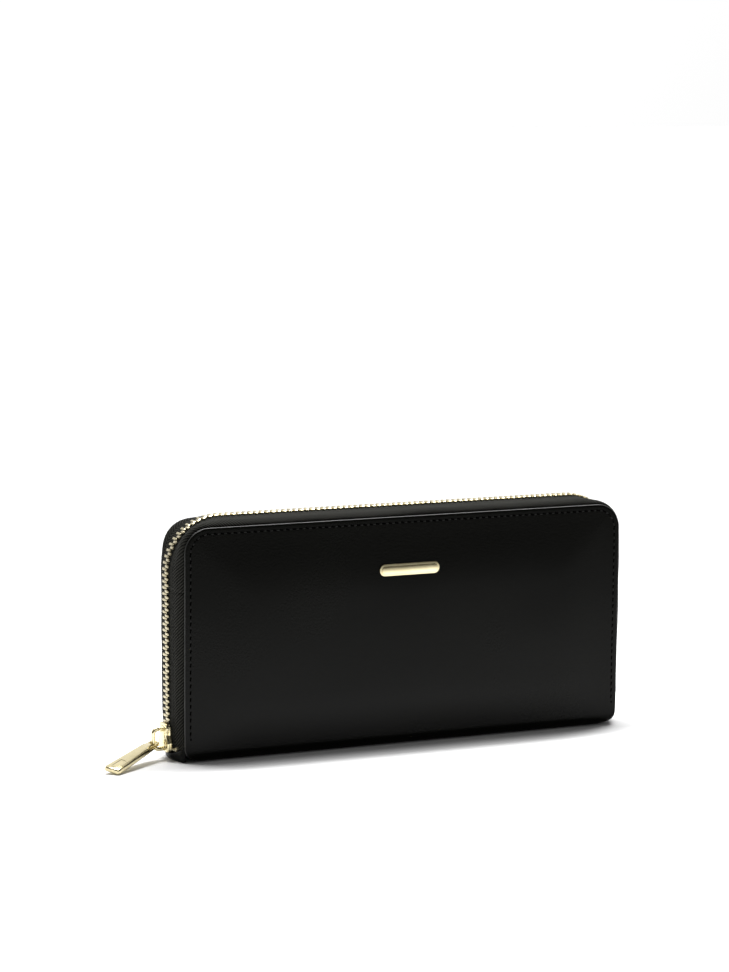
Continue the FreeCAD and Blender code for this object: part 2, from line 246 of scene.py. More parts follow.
def band_outline(points, h):
    """Closed outline of a band of thickness 2h along a 2-D line."""
    line = with_tangents(points)
    return ([(x + ty * h, y - tx * h) for x, y, tx, ty in line]
            + [(x - ty * h, y + tx * h) for x, y, tx, ty in line[::-1]])


def attach(ob, body, slot, *nodes):
    """Give a piece its body and the CAD nodes it stands for; the slot argument is not used."""
    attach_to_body(ob, body)
    if nodes:
        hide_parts(*nodes)


def box_mm(node):
    return [Vector(c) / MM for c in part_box(node)]


# ---- materials -----------------------------------------------------------
class Mat:
    def __init__(self, name):
        self.m = bpy.data.materials.new(name)
        self.m.use_nodes = True
        self.t = self.m.node_tree
        self.b = self.t.nodes["Principled BSDF"]

    def node(self, kind, **sets):
        n = self.t.nodes.new(kind)
        for k, v in sets.items():
            if k in n.inputs:
                n.inputs[k].default_value = v
            else:
                setattr(n, k, v)
        return n

    def link(self, a, b):
        self.t.links.new(a, b)

    def coords(self, kind="Object"):
        return self.node("ShaderNodeTexCoord").outputs[kind]

    def noise(self, vec, scale, detail=3.0, rough=0.5):
        n = self.node("ShaderNodeTexNoise", Scale=scale, Detail=detail, Roughness=rough)
        self.link(vec, n.inputs["Vector"])
        return n.outputs["Fac"]

    def voronoi(self, vec, scale, feature="F1"):
        n = self.node("ShaderNodeTexVoronoi", feature=feature, Scale=scale)
        self.link(vec, n.inputs["Vector"])
        return n.outputs["Distance"]

    def math(self, op, a, b=None, c=None, clamp=False):
        n = self.node("ShaderNodeMath", operation=op, use_clamp=clamp)
        for i, v in enumerate((a, b, c)):
            if v is None:
                continue
            if isinstance(v, (int, float)):
                n.inputs[i].default_value = v
            else:
                self.link(v, n.inputs[i])
        return n.outputs[0]

    def mix(self, a, share_a, b, share_b):
        return self.math("ADD", self.math("MULTIPLY", a, share_a), self.math("MULTIPLY", b, share_b))

    def wave(self, v, period, swing=0.5):
        """Sine of v about one half, cut off at 0 and 1."""
        sine = self.math("SINE", self.math("MULTIPLY", v, 2 * math.pi / period))
        return self.math("MULTIPLY_ADD", sine, swing, 0.5, clamp=True)

    def ramp(self, fac, stops):
        n = self.node("ShaderNodeValToRGB")
        els = n.color_ramp.elements
        while len(els) < len(stops):
            els.new(0.5)
        for e, (pos, col) in zip(els, stops):
            e.position = pos
            e.color = (*col, 1.0) if len(col) == 3 else col
        self.link(fac, n.inputs["Fac"])
        return n.outputs["Color"]

    def range(self, fac, low, high):
        n = self.node("ShaderNodeMapRange")
        n.inputs["To Min"].default_value = low
        n.inputs["To Max"].default_value = high
        self.link(fac, n.inputs["Value"])
        return n.outputs["Result"]

    def bump(self, height, distance, strength=1.0, normal=None):
        n = self.node("ShaderNodeBump", Distance=distance, Strength=strength)
        self.link(height, n.inputs["Height"])
        if normal is not None:
            self.link(normal, n.inputs["Normal"])
        return n.outputs["Normal"]

    def out(self, color=None, rough=None, normal=None, **sockets):
        if color is not None:
            self.link(color, self.b.inputs["Base Color"])
        if rough is not None:
            self.link(rough, self.b.inputs["Roughness"])
        if normal is not None:
            self.link(normal, self.b.inputs["Normal"])
        for k, v in sockets.items():
            self.b.inputs[k.replace("_", " ")].default_value = v
        return self.m


def leather(name, dark, light, rough, grain, spec):
    m = Mat(name)
    co = m.coords()
    big = m.noise(co, 22, 3)
    fine = m.noise(co, 2600, 4, 0.65)
    pores = m.voronoi(co, 1500)
    crease = m.voronoi(co, 620, "DISTANCE_TO_EDGE")
    color = m.ramp(m.mix(big, 0.7, fine, 0.3), [(0.3, dark), (0.7, light)])
    r = m.range(m.mix(big, 0.6, fine, 0.4), rough - 0.09, rough + 0.09)
    n1 = m.bump(m.math("MINIMUM", crease, 0.12), 0.00018 * grain, 0.35)
    n2 = m.bump(pores, 0.00006 * grain, 0.5, n1)
    n3 = m.bump(fine, 0.00003 * grain, 0.6, n2)
    return m.out(color, r, n3, Specular_IOR_Level=spec)


def edge_paint(name):
    """Painted cut edge of the leather, a little lighter and glossier."""
    m = Mat(name)
    co = m.coords()
    a = m.noise(co, 240, 3)
    color = m.ramp(a, [(0.3, (0.006, 0.006, 0.0055)), (0.75, (0.024, 0.024, 0.022))])
    n = m.bump(m.noise(co, 900, 3), 0.00008, 0.6)
    return m.out(color, m.range(a, 0.28, 0.42), n, Specular_IOR_Level=0.34)


def metal(name, dark, light, rough):
    m = Mat(name)
    co = m.coords()
    a = m.noise(co, 160, 3)
    fine = m.noise(co, 3800, 2)
    color = m.ramp(a, [(0.25, dark), (0.75, light)])
    n = m.bump(fine, 0.00001, 0.35)
    return m.out(color, m.range(a, rough - 0.05, rough + 0.08), n, Metallic=1.0)


def herringbone(name, middle, pitch):
    """Woven zip tape.  UV u runs along the tape and v across it, both in mm;
    the ribs meet at v = middle."""
    m = Mat(name)
    sep = m.node("ShaderNodeSeparateXYZ")
    m.link(m.coords("UV"), sep.inputs[0])
    u, v = sep.outputs["X"], sep.outputs["Y"]
    off = m.math("ABSOLUTE", m.math("SUBTRACT", v, middle))
    rib = m.wave(m.math("SUBTRACT", u, m.math("MULTIPLY", off, 1.05)), pitch, 1.1)
    spine = m.math("LESS_THAN", off, 0.16)
    body = m.math("MULTIPLY", rib, m.math("SUBTRACT", 1.0, m.math("MULTIPLY", spine, 0.7)))
    fuzz = m.noise(m.coords(), 3000, 3)
    height = m.mix(body, 0.75, m.wave(v, 0.42), 0.18)
    height = m.mix(height, 1.0, m.wave(u, 0.36), 0.12)
    # The colour follows the rib height: rib crowns are painted lighter as painted highlight, and the
    # grooves and the line where the ribs meet are painted darker as painted shade; the fuzz noise is the
    # yarn's own tone.
    color = m.ramp(m.mix(height, 0.8, fuzz, 0.25),
                   [(0.15, (0.0015, 0.0015, 0.0014)), (0.95, (0.038, 0.038, 0.033))])
    n1 = m.bump(height, 0.00022, 0.9)
    n2 = m.bump(fuzz, 0.00005, 0.6, n1)
    return m.out(color, m.range(fuzz, 0.6, 0.8), n2, Specular_IOR_Level=0.03)


def weave(name, dark, light):
    """Close plain weave from object coordinates."""
    m = Mat(name)
    sep = m.node("ShaderNodeSeparateXYZ")
    m.link(m.coords(), sep.inputs[0])
    k = 2 * math.pi / (0.55 * MM)
    a = m.math("SINE", m.math("MULTIPLY", sep.outputs["X"], k))
    b = m.math("SINE", m.math("MULTIPLY", sep.outputs["Z"], k))
    w = m.math("MULTIPLY_ADD", m.math("MULTIPLY", a, b), 0.5, 0.5)
    fuzz = m.noise(m.coords(), 2200, 3)
    return m.out(m.ramp(m.mix(w, 0.6, fuzz, 0.4), [(0.2, dark), (0.8, light)]),
                 m.range(fuzz, 0.7, 0.9), m.bump(w, 0.00012, 0.7), Specular_IOR_Level=0.3)


def thread(name, dark, light, spec):
    m = Mat(name)
    sep = m.node("ShaderNodeSeparateXYZ")
    m.link(m.coords(), sep.inputs[0])
    twist = m.wave(m.math("ADD", sep.outputs["X"], sep.outputs["Z"]), 0.55 * MM)
    color = m.ramp(twist, [(0.1, dark), (0.9, light)])
    fuzz = m.noise(m.coords(), 4000, 2)
    return m.out(color, m.range(fuzz, 0.5, 0.7), m.bump(twist, 0.00008, 0.8),
                 Specular_IOR_Level=spec)


def fibre_board(name):
    m = Mat(name)
    a = m.noise(m.coords(), 900, 5, 0.7)
    return m.out(m.ramp(a, [(0.3, (0.30, 0.23, 0.15)), (0.7, (0.50, 0.40, 0.28))]),
                 m.range(a, 0.8, 0.95), m.bump(a, 0.0001, 0.6))


SKIN = leather("leather_smooth_black", (0.0012, 0.0013, 0.0009), (0.0026, 0.0027, 0.0019),
               0.20, grain=1.0, spec=0.072)
EDGE = edge_paint("leather_painted_edge")
INNER = leather("leather_grained_black", (0.010, 0.0095, 0.0095), (0.018, 0.017, 0.017),
                0.55, grain=2.2, spec=0.35)
GOLD = metal("metal_pale_gold", (0.64, 0.56, 0.33), (0.78, 0.69, 0.44), 0.19)
TEETH = metal("metal_zip_gold", (0.42, 0.37, 0.23), (0.60, 0.54, 0.38), 0.28)
TAPE = herringbone("tape_herringbone", 5.6, 1.3)
COIN_TAPE = herringbone("tape_herringbone_fine", 2.4, 1.1)
LINING = weave("lining_weave_black", (0.010, 0.010, 0.011), (0.030, 0.030, 0.032))
THREAD = thread("thread_black", (0.0030, 0.0030, 0.0028), (0.0120, 0.0120, 0.0110), spec=0.15)
# near-black painted shade for the needle holes at the stitches' ends
HOLE_SHADE = thread("thread_in_shade", (0.0001, 0.0001, 0.0001), (0.0006, 0.0006, 0.0005), spec=0.0)
BOARD = fibre_board("fibre_board")

SLOTS = {"black_leather": SKIN, "inner_leather": INNER, "board": BOARD, "lining_fabric": LINING,
         "zip_tape": TAPE, "zip_metal": TEETH, "gold_metal": GOLD}
for part in frame["record"]["subparts"]:
    ob = frame["nodes"][part["node"]]
    if not ob.material_slots:
        ob.data.materials.append(None)
    for s in ob.material_slots:
        s.material = SLOTS[part["material_slot"]]


# ---- the chain's path ----------------------------------------------------
def chain_point(s):
    """Place on the chain's centreline at distance s and the turn about Y."""
    if s <= BEND_Z:
        return -CHAIN_X, s, 0.0
    s -= BEND_Z
    if s <= QUARTER:
        a = s / CHAIN_RADIUS
        return -BEND_X - CHAIN_RADIUS * math.cos(a), BEND_Z + CHAIN_RADIUS * math.sin(a), a
    s -= QUARTER
    if s <= 2 * BEND_X:
        return -BEND_X + s, TOP + CHAIN_OUT, math.pi / 2
    s -= 2 * BEND_X
    if s <= QUARTER:
        a = s / CHAIN_RADIUS
        x = BEND_X + CHAIN_RADIUS * math.sin(a)
        return x, BEND_Z + CHAIN_RADIUS * math.cos(a), math.pi / 2 + a
    return CHAIN_X, BEND_Z - (s - QUARTER), math.pi


def chain_gap(turn):
    """How far the chain stands out from the leather's edge at a turn."""
    turn = min(turn, math.pi - turn)
    near = min(turn, math.pi / 2 - turn)
    flat = CHAIN_RADIUS - CHAIN_OUT
    step = CORNER_Z - BEND_Z
    if flat * math.tan(near) <= step:
        return CHAIN_RADIUS - flat / math.cos(near)
    d = step * (math.cos(turn) + math.sin(turn))
    return CHAIN_RADIUS - d - math.sqrt(d * d - 2 * step * step + R_TOP ** 2)


# ---- outer hide ----------------------------------------------------------
def hide_width(zeta, right=True):
    """Half width of the hide; its right end draws in a little near the floor."""
    pull = 0.2 * (1 - smooth01((zeta - 2.0) / 14.0)) if right else 0.0
    if zeta >= R_LOW:
        return HALF - pull
    t = min(R_LOW, R_LOW - zeta)
    return HALF - pull - R_LOW + math.sqrt(max(0.0, R_LOW * R_LOW - t * t))


def splay(z, side):
    """The zip holds the front cover's upper part out a little."""
    return 1.3 * smooth01((z - 8.0) / 80.0) if side < 0 else 0.0


def hide_point(x, zeta, depth, lift):
    """Map the flat hide round the fold; returns a point on the front (-Y)."""
    if zeta >= FOLD:
        return (x, -OUT_Y + depth - lift, zeta)
    a = FOLD - zeta
    quarter = FOLD * math.pi / 2
    if a <= quarter:
        phi = a / FOLD
        r = FOLD - depth + lift
        return (x, -OUT_Y + FOLD - r * math.cos(phi), FOLD - r * math.sin(phi))
    return (x, -OUT_Y + FOLD + (a - quarter), depth)


def hide_lift(x, zeta, side):
    """How far the leather stands proud of flat: crowned over the board."""
    edge = min(HALF - abs(x), TOP - zeta)
    rise = smooth01((edge - 3.0) / 26.0) * smooth01((zeta - 3.5) / 18.0)
    seed = HIDE_SEED[side]
    wave = noise.noise(Vector((x / 60.0, zeta / 40.0, seed))) * 0.25
    wave += noise.noise(Vector((x / 19.0, zeta / 16.0, seed + 9))) * 0.03
    return rise * (0.95 - 0.25 * zeta / TOP + wave)


def hide(name, side):
    """One half of the hide: front or back, round its fold to the middle of
    the spine.  Rings follow the edge inwards, then a grid fills the middle."""
    seed = HIDE_SEED[side]
    end = FOLD - FOLD * math.pi / 2
    rows = [CORNER_Z - (CORNER_Z - 8.0) * i / 24 for i in range(25)] + [6.8, 5.6, 4.8, 4.0]
    rows += [FOLD - FOLD * math.pi / 2 * i / 12 for i in range(1, 13)]
    rows += [end - 2.4, end - 4.8, end - 7.2]
    cols = [-CORNER_X + 2 * CORNER_X * i / 54 for i in range(55)]
    turn = 14
    corner = [math.pi / 2 * i / turn for i in range(1, turn)]
    frames = [((-(hide_width(zeta, False) - R_TOP), zeta), (-1.0, 0.0)) for zeta in rows[::-1]]
    frames += [((-CORNER_X, CORNER_Z), (-math.cos(a), math.sin(a))) for a in corner]
    frames += [((x, CORNER_Z), (0.0, 1.0)) for x in cols]
    frames += [((CORNER_X, CORNER_Z), (math.sin(a), math.cos(a))) for a in corner]
    frames += [((hide_width(zeta) - R_TOP, zeta), (1.0, 0.0)) for zeta in rows]
    # (inset from the edge, depth below the face): outer face, then the inner
    outer = [(-0.1, 0.6), (-0.06, 0.40), (0.04, 0.24), (0.2, 0.11), (0.42, 0.04), (0.75, 0.01),
             (1.1, 0.0), (1.6, 0.0), (2.0, 0.01), (2.35, 0.02), (2.7, 0.01), (3.2, 0.0),
             (4.2, 0.0), (5.6, 0.0), (7.6, 0.0), (R_TOP, 0.0)]
    inner = [(0.04, 0.80), (0.14, 0.98), (0.30, 1.11), (0.6, LEATHER), (4.0, LEATHER),
             (R_TOP, LEATHER)]
    verts, faces, paint = [], [], []

    def put(x, zeta, depth, front):
        lift = hide_lift(x, zeta, side) if front else 0.0
        wob = 0.0
        if depth > 0.05 and front:
            wob = noise.noise(Vector((x / 9.0, zeta / 9.0, seed + 3))) * 0.06
        p = hide_point(x, zeta, depth + wob, lift + splay(zeta, side))
        verts.append((p[0], p[1] * -side, p[2]))
        return len(verts) - 1

    def ring(e, depth, front):
        k = R_TOP - e
        return [put(cx + dx * k, cz + dz * k, depth, front) for (cx, cz), (dx, dz) in frames]

    def band(a, b, painted=False):
        for i in range(len(a) - 1):
            quad = [a[i], a[i + 1], b[i + 1], b[i]]
            faces.append([v for j, v in enumerate(quad) if v not in quad[:j]])
            paint.append(painted)

    def sheet(last, depth, front):
        nr, nt, nc = len(rows), turn - 1, len(cols)
        left = list(reversed(last[:nr]))
        top = last[nr + nt:nr + nt + nc]
        right = last[nr + 2 * nt + nc:]
        grid = [[left[0]] + top[1:-1] + [right[0]]]
        for j in range(1, nr):
            widen = {east: (hide_width(rows[j], east) - R_TOP) / CORNER_X for east in (False, True)}
            middle = [put(x * widen[x > 0], rows[j], depth, front) for x in cols[1:-1]]
            grid.append([left[j]] + middle + [right[j]])
        for a, b in zip(grid, grid[1:]):
            band(a, b)
        return grid[-1]

    rings = [ring(e, d, True) for e, d in outer]
    under = [ring(e, d, False) for e, d in inner]
    for k, (a, b) in enumerate(zip(rings, rings[1:])):
        band(a, b, k < 3)
    foot_out = sheet(rings[-1], 0.0, True)
    band(rings[0], under[0], True)
    for k, (a, b) in enumerate(zip(under, under[1:])):
        band(a, b, k < 2)
    foot_in = sheet(under[-1], LEATHER, False)
    low_out = [r[0] for r in rings] + foot_out[1:-1] + [r[-1] for r in reversed(rings)]
    low_in = [rings[0][0]] + [r[0] for r in under] + foot_in[1:-1]
    low_in += [r[-1] for r in reversed(under)] + [rings[0][-1]]
    loop = low_out + low_in[::-1]
    faces.append([v for i, v in enumerate(loop) if v != loop[i - 1]])
    paint.append(False)
    ob = mesh_object(name, verts, faces, SKIN)
    ob.data.materials.append(EDGE)
    for p, painted in zip(ob.data.polygons, paint):
        p.material_index = 1 if painted else 0
    fix_normals(ob, merge=1e-7)
    return ob


for name, side in SIDES:
    ob = hide(name + "_hide", side)
    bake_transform(ob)
    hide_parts(name + "_leather", "spine_leather")


# ---- stitches ------------------------------------------------------------
def stitch(length, width, height):
    """A short thread that dives into the leather at both ends."""
    rings = []
    for i in range(7):
        t = i / 6
        swell = math.sin(math.pi * t)
        rise = height * swell - 0.16
        r = width / 2 * (0.35 + 0.65 * swell ** 0.5)
        rings.append([((t - 0.5) * length, math.cos(a) * r, rise + math.sin(a) * r * 0.8)
                      for a in turns(6)])
    return loft(rings)


def hole_shade_dome():
    """A near-black dome 0.05 mm high: painted shade that stands for the hole at a stitch's end."""
    verts = [(0.0, 0.0, 0.05)]
    verts += [(0.46 * math.cos(a), 0.36 * math.sin(a), h) for h in (0.035, -0.15) for a in turns(8)]
    faces = [(0, 1 + i, 1 + (i + 1) % 8) for i in range(8)]
    faces += [(1 + i, 9 + i, 9 + (i + 1) % 8, 1 + (i + 1) % 8) for i in range(8)]
    return verts, faces + [tuple(16 - i for i in range(8))]


def seam(name, side):
    """Stitches round three sides of a cover, and near-black domes of painted shade for the holes at their
    ends.
    """
    r = random.Random(SEAM_SEED[side])
    k = R_TOP - SEAM_INSET
    foot = 9.0
    runs = []
    n = int((CORNER_Z - foot) / SEAM_PITCH)
    for i in range(n):
        z = foot + (i + 0.5) * (CORNER_Z - foot) / n
        runs += [((-CORNER_X - k, z), (0.0, 1.0)), ((CORNER_X + k, z), (0.0, -1.0))]
    n = int(2 * CORNER_X / SEAM_PITCH)
    for i in range(n):
        runs.append(((-CORNER_X + (i + 0.5) * 2 * CORNER_X / n, CORNER_Z + k), (1.0, 0.0)))
    n = int(k * math.pi / 2 / SEAM_PITCH)
    for i in range(n):
        a = math.pi / 2 * (i + 0.5) / n
        runs.append(((-CORNER_X - k * math.cos(a), CORNER_Z + k * math.sin(a)),
                     (math.sin(a), math.cos(a))))
        runs.append(((CORNER_X + k * math.sin(a), CORNER_Z + k * math.cos(a)),
                     (math.cos(a), -math.sin(a))))
    stitches, hole_shades = Builder(), Builder()
    for (x, z), (tx, tz) in runs:
        lean = math.radians(5 + r.uniform(-2, 2))
        ux = tx * math.cos(lean) - tz * math.sin(lean)
        uz = tx * math.sin(lean) + tz * math.cos(lean)
        y = OUT_Y - 0.02 + hide_lift(x, z, side) + splay(z, side)
        m = Matrix((
            (ux, -uz, 0, x + r.uniform(-0.04, 0.04)),
            (0, 0, side, side * y),
            (uz, ux, 0, z + r.uniform(-0.05, 0.05)),
            (0, 0, 0, 1),
        ))
        stitches.add(*stitch(1.7, 0.5, 0.2), m)
        # near-black domes of painted shade for the needle holes at both ends of each stitch
        for end in (-0.98, 0.98):
            hole_shades.add(*hole_shade_dome(), m @ Matrix.Translation((end, 0, 0)))
    return (stitches.object(name + "_stitching", THREAD, 60),
            hole_shades.object(name + "_hole_shade_domes", HOLE_SHADE, 60))


for name, side in SIDES:
    for ob in seam(name, side):
        attach(ob, name + "_cover", "zip_tape")


# ---- zip tape ------------------------------------------------------------
TAPE_LINE = [          # |y|, share of the way out to the chain, rise above that
    (9.62, 0.0, -6.6), (9.62, 0.0, -3.6), (9.62, 0.0, -0.8), (9.47, 0.0, 0.5),
    (8.9, 0.1, 1.15), (7.8, 0.3, 1.35), (6.2, 0.6, 0.85), (4.2, 0.9, 0.2), (3.3, 1.0, 0.0),
    (2.2, 1.0, 0.0),
]


def smooth_line(points, n):
    """Catmull-Rom curve through the points."""
    out = []
    for i in range(len(points) - 1):
        p = [points[max(0, i - 1)], points[i], points[i + 1], points[min(len(points) - 1, i + 2)]]
        for k in range(n):
            t = k / n
            out.append(tuple(
                0.5 * (2 * b + (c - a) * t + (2 * a - 5 * b + 4 * c - d) * t * t
                       + (3 * b - a - 3 * c + d) * t ** 3)
                for a, b, c, d in zip(*p)))
    return out + [points[-1]]


def arch(s, side):
    """How full the tape's arch is: flatter down the right-hand end, and
    behind along the top."""
    last = CHAIN_LENGTH - BEND_Z - QUARTER
    full = (0.4 + 0.6 * smooth01((s - 5.0) / 14.0)) * (1.0 - 0.35 * smooth01((s - last) / QUARTER))
    if side > 0:
        full -= 0.4 * smooth01((s - BEND_Z - 0.6 * QUARTER) / 14.0) * (
            1 - smooth01((s - last) / 14.0))
    return full


def tape_section(gap, line, dist, full):
    """Closed section (y, n, v): woven band with a corded inner edge."""
    flat = [(y, share * gap + (rise * full if rise > 0 else rise)) for y, share, rise in line]
    outline = band_outline(flat, 0.24)
    n = len(flat)
    up = [(*p, v) for p, v in zip(outline[:n], dist)]
    down = [(*p, v) for p, v in zip(outline[n:], reversed(dist))]
    bead = [(y, out, dist[-1] + 0.5) for y, out in arc(1.75, gap, 0.52, 60, 300, 8)]
    return up + bead + down


def tape_piece(name, side, first, last):
    line = smooth_line(TAPE_LINE, 4)
    dist = [0.0]
    for (ay, ash, ar), (by, bsh, br) in zip(line, line[1:]):
        dn = (bsh - ash) * CHAIN_OUT + br - ar
        dist.append(dist[-1] + math.hypot(by - ay, dn))
    edge = next(d for (y, share, rise), d in zip(line, dist) if rise > -0.81)
    dist = [d - edge for d in dist]    # 0 where the tape comes out of the leather
    count = max(8, int((last - first) / 1.5))
    rings, uvs = [], []
    for i in range(count + 1):
        s = first + (last - first) * i / count
        x, z, turn = chain_point(s)
        gap = chain_gap(turn)
        dx, dz = -math.cos(turn), math.sin(turn)
        ring = []
        for y, out, v in tape_section(gap, line, dist, arch(s, side)):
            wave = noise.noise(Vector((s / 11.0, v / 5.0, side * 4.0))) * 0.22
            wave += noise.noise(Vector((s / 37.0, 3.0, side * 7.0))) * 0.25
            free = smooth01((v - 0.5) / 2.0) * smooth01((9.0 - v) / 3.0)
            k = out - gap + wave * free
            y += splay(z, side) * smooth01((y - 4.0) / 6.0)
            ring.append((x + dx * k, side * y, z + dz * k))
            uvs.append((s, v))
        rings.append(ring)
    return sweep(name, TAPE, rings, uvs)


# ---- teeth ---------------------------------------------------------------
TOOTH_OUTLINE = [
    (-0.85, -0.75), (-0.85, 0.75), (-0.3, 1.05), (0.9, 1.2), (2.5, 1.2), (2.9, 0.95),
    (2.9, 0.5), (1.55, 0.45), (1.55, -0.45), (2.9, -0.5), (2.9, -0.95), (2.5, -1.2),
    (0.9, -1.2), (-0.3, -1.05),
]


def tooth(scale):
    """The +Y half's tooth, pointing out along -X, the chain along Z."""
    pts = [(-n * scale, y * scale) for y, n in TOOTH_OUTLINE]
    h = TOOTH * scale / 2
    return prism(pts, 2, -h, h, 0.14 * scale, 2)


def teeth(name, side, first, last, extra=()):
    """A side's teeth from first to last along the chain, and extra ones as
    (|y|, z, lean) beside the slider."""
    verts, faces = tooth(1.0)
    b = Builder()
    flip = Matrix.Diagonal((1, side, 1, 1))
    s = FIRST_TOOTH + (PITCH / 2 if side > 0 else 0.0)
    while s < CHAIN_LENGTH - LAST_TOOTH:
        if first <= s < last:
            x, z, turn = chain_point(s)
            place = Matrix.Translation((x, 0, z)) @ Matrix.Rotation(turn, 4, "Y") @ flip
            b.add(verts, faces, place)
        s += PITCH
    for y, z, lean in extra:
        place = Matrix.Translation((-CHAIN_X, side * y, z)) @ Matrix.Rotation(side * lean, 4, "X")
        b.add(verts, faces, place @ flip)
    return b.object(name, TEETH, 30)


for name, side in SIDES:
    body = name + "_cover"
    tape, chain = name + "_zip_tape", name + "_teeth"
    low_teeth = [(1.35, 6.85, 0.0), (1.45, 4.6, 0.0)]
    for ob, slot, node in (
            (tape_piece(name + "_tape_left_run", side, TAPE_FIRST, SPLIT_S), "zip_tape", tape),
            (teeth(name + "_teeth_left_run", side, 0, SPLIT_S, low_teeth), "zip_metal", chain + "_left")):
        attach(ob, body, slot, node)
        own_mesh(ob)
    attach(tape_piece(name + "_tape_run", side, SPLIT_S, TAPE_LAST), body, "zip_tape", tape)
    attach(teeth(name + "_teeth_run", side, SPLIT_S, CHAIN_LENGTH), body, "zip_metal",
           chain, chain + "_left", chain + "_right")


# ---- slider and puller ---------------------------------------------------
def slider_mesh(name, k, place, crown, extra=()):
    """Two plates joined by a post, with lips that hold the teeth.  k is the
    scale; crown adds the places where the loop meets the plate."""
    gap, thick = 1.5 * k, 1.0 * max(k, 0.7)
    slot = 0.45 if k == 1 else 0.3
    half = [(4.5, -5.6), (5.05, -5.2), (5.2, -4.5), (5.2, -2.2), (4.9, -1.0), (4.0, 0.2),
            (3.75, 1.2), (3.95, 2.4), (4.1, 3.4), (3.9, 4.6), (3.0, 5.3), (1.6, 5.6)]
    plan = half + [(-y, z) for y, z in reversed(half)]
    b = Builder()
    plan_k = [(y * k, z * k) for y, z in plan]
    b.add(*prism(plan_k, 0, -gap - thick, -gap, 0.28 * k, 3), place)
    b.add(*prism(plan_k, 0, gap, gap + thick, 0.28 * k, 3), place)
    raised = [(y * k * 0.62, z * k * 0.78) for y, z in plan]
    b.add(*prism(raised, 0, -gap - thick - 0.22 * k, -gap - thick + 0.2 * k, 0.16 * k, 2), place)
    lip = [(5.1, -4.5), (5.1, -2.1), (4.05, 0.9), (4.05, 4.4), (3.4, 4.4), (3.4, 1.0),
           (4.5, -2.0), (4.5, -4.5)]
    for sign in (-1, 1):
        pts = [(sign * y * k, z * k) for y, z in lip]
        b.add(*prism(pts, 0, -gap - 0.05, -slot, 0.08 * k, 2), place)
        b.add(*prism(pts, 0, slot, gap + 0.05, 0.08 * k, 2), place)
    post = [(0.42, -5.3), (0.42, -2.2), (0.0, -1.2), (-0.42, -2.2), (-0.42, -5.3)]
    b.add(*prism([(y * k, z * k) for y, z in post], 0, -gap - 0.1, gap + 0.1, 0.05 * k, 1), place)
    if crown:
        # foot of the crown, and the stub that faces its open end
        b.add(*prism(stadium(-0.95, 0.95, -5.5, -4.1, 0.5, 3), 0, -3.3, -2.4, 0.2, 2), place)
        b.add(*prism(stadium(-0.8, 0.8, 2.1, 3.5, 0.5, 3), 0, -3.75, -2.4, 0.25, 2), place)
    for verts, faces in extra:
        b.add(verts, faces)
    return b.object(name, GOLD, 35)


def tube(points, radius, taper, sides=14):
    """Round bar along points in the XZ plane."""
    rings = []
    for i, (x, z, tx, tz) in enumerate(with_tangents(points)):
        r = radius * taper(i / (len(points) - 1))
        rings.append([(x - tz * math.cos(a) * r, math.sin(a) * r * 1.05, z + tx * math.cos(a) * r)
                      for a in turns(sides)])
    return loft(rings)


slider_place = Matrix.Translation((-CHAIN_X, 0, SLIDER_Z))
ob = slider_mesh("slider", 1.0, slider_place, True)
attach(ob, "slider", "gold_metal", "slider_body")

crown_line = [(-2.4, -4.9), (-3.6, -4.9)]
crown_line += arc(-CROWN_OUT + 2.2, -2.7, 2.2, 270, 180, 12)
crown_line += [(-CROWN_OUT, -1.2), (-CROWN_OUT, 0.2)]
crown_line += arc(-CROWN_OUT + 1.6, 1.35, 1.6, 180, 62, 12)
b = Builder()
b.add(*tube(crown_line, 0.76, lambda t: 1.08 - 0.3 * smooth01((t - 0.93) / 0.07)), slider_place)
attach(b.object("slider_loop", GOLD, 50), "slider", "gold_metal", "slider_crown")


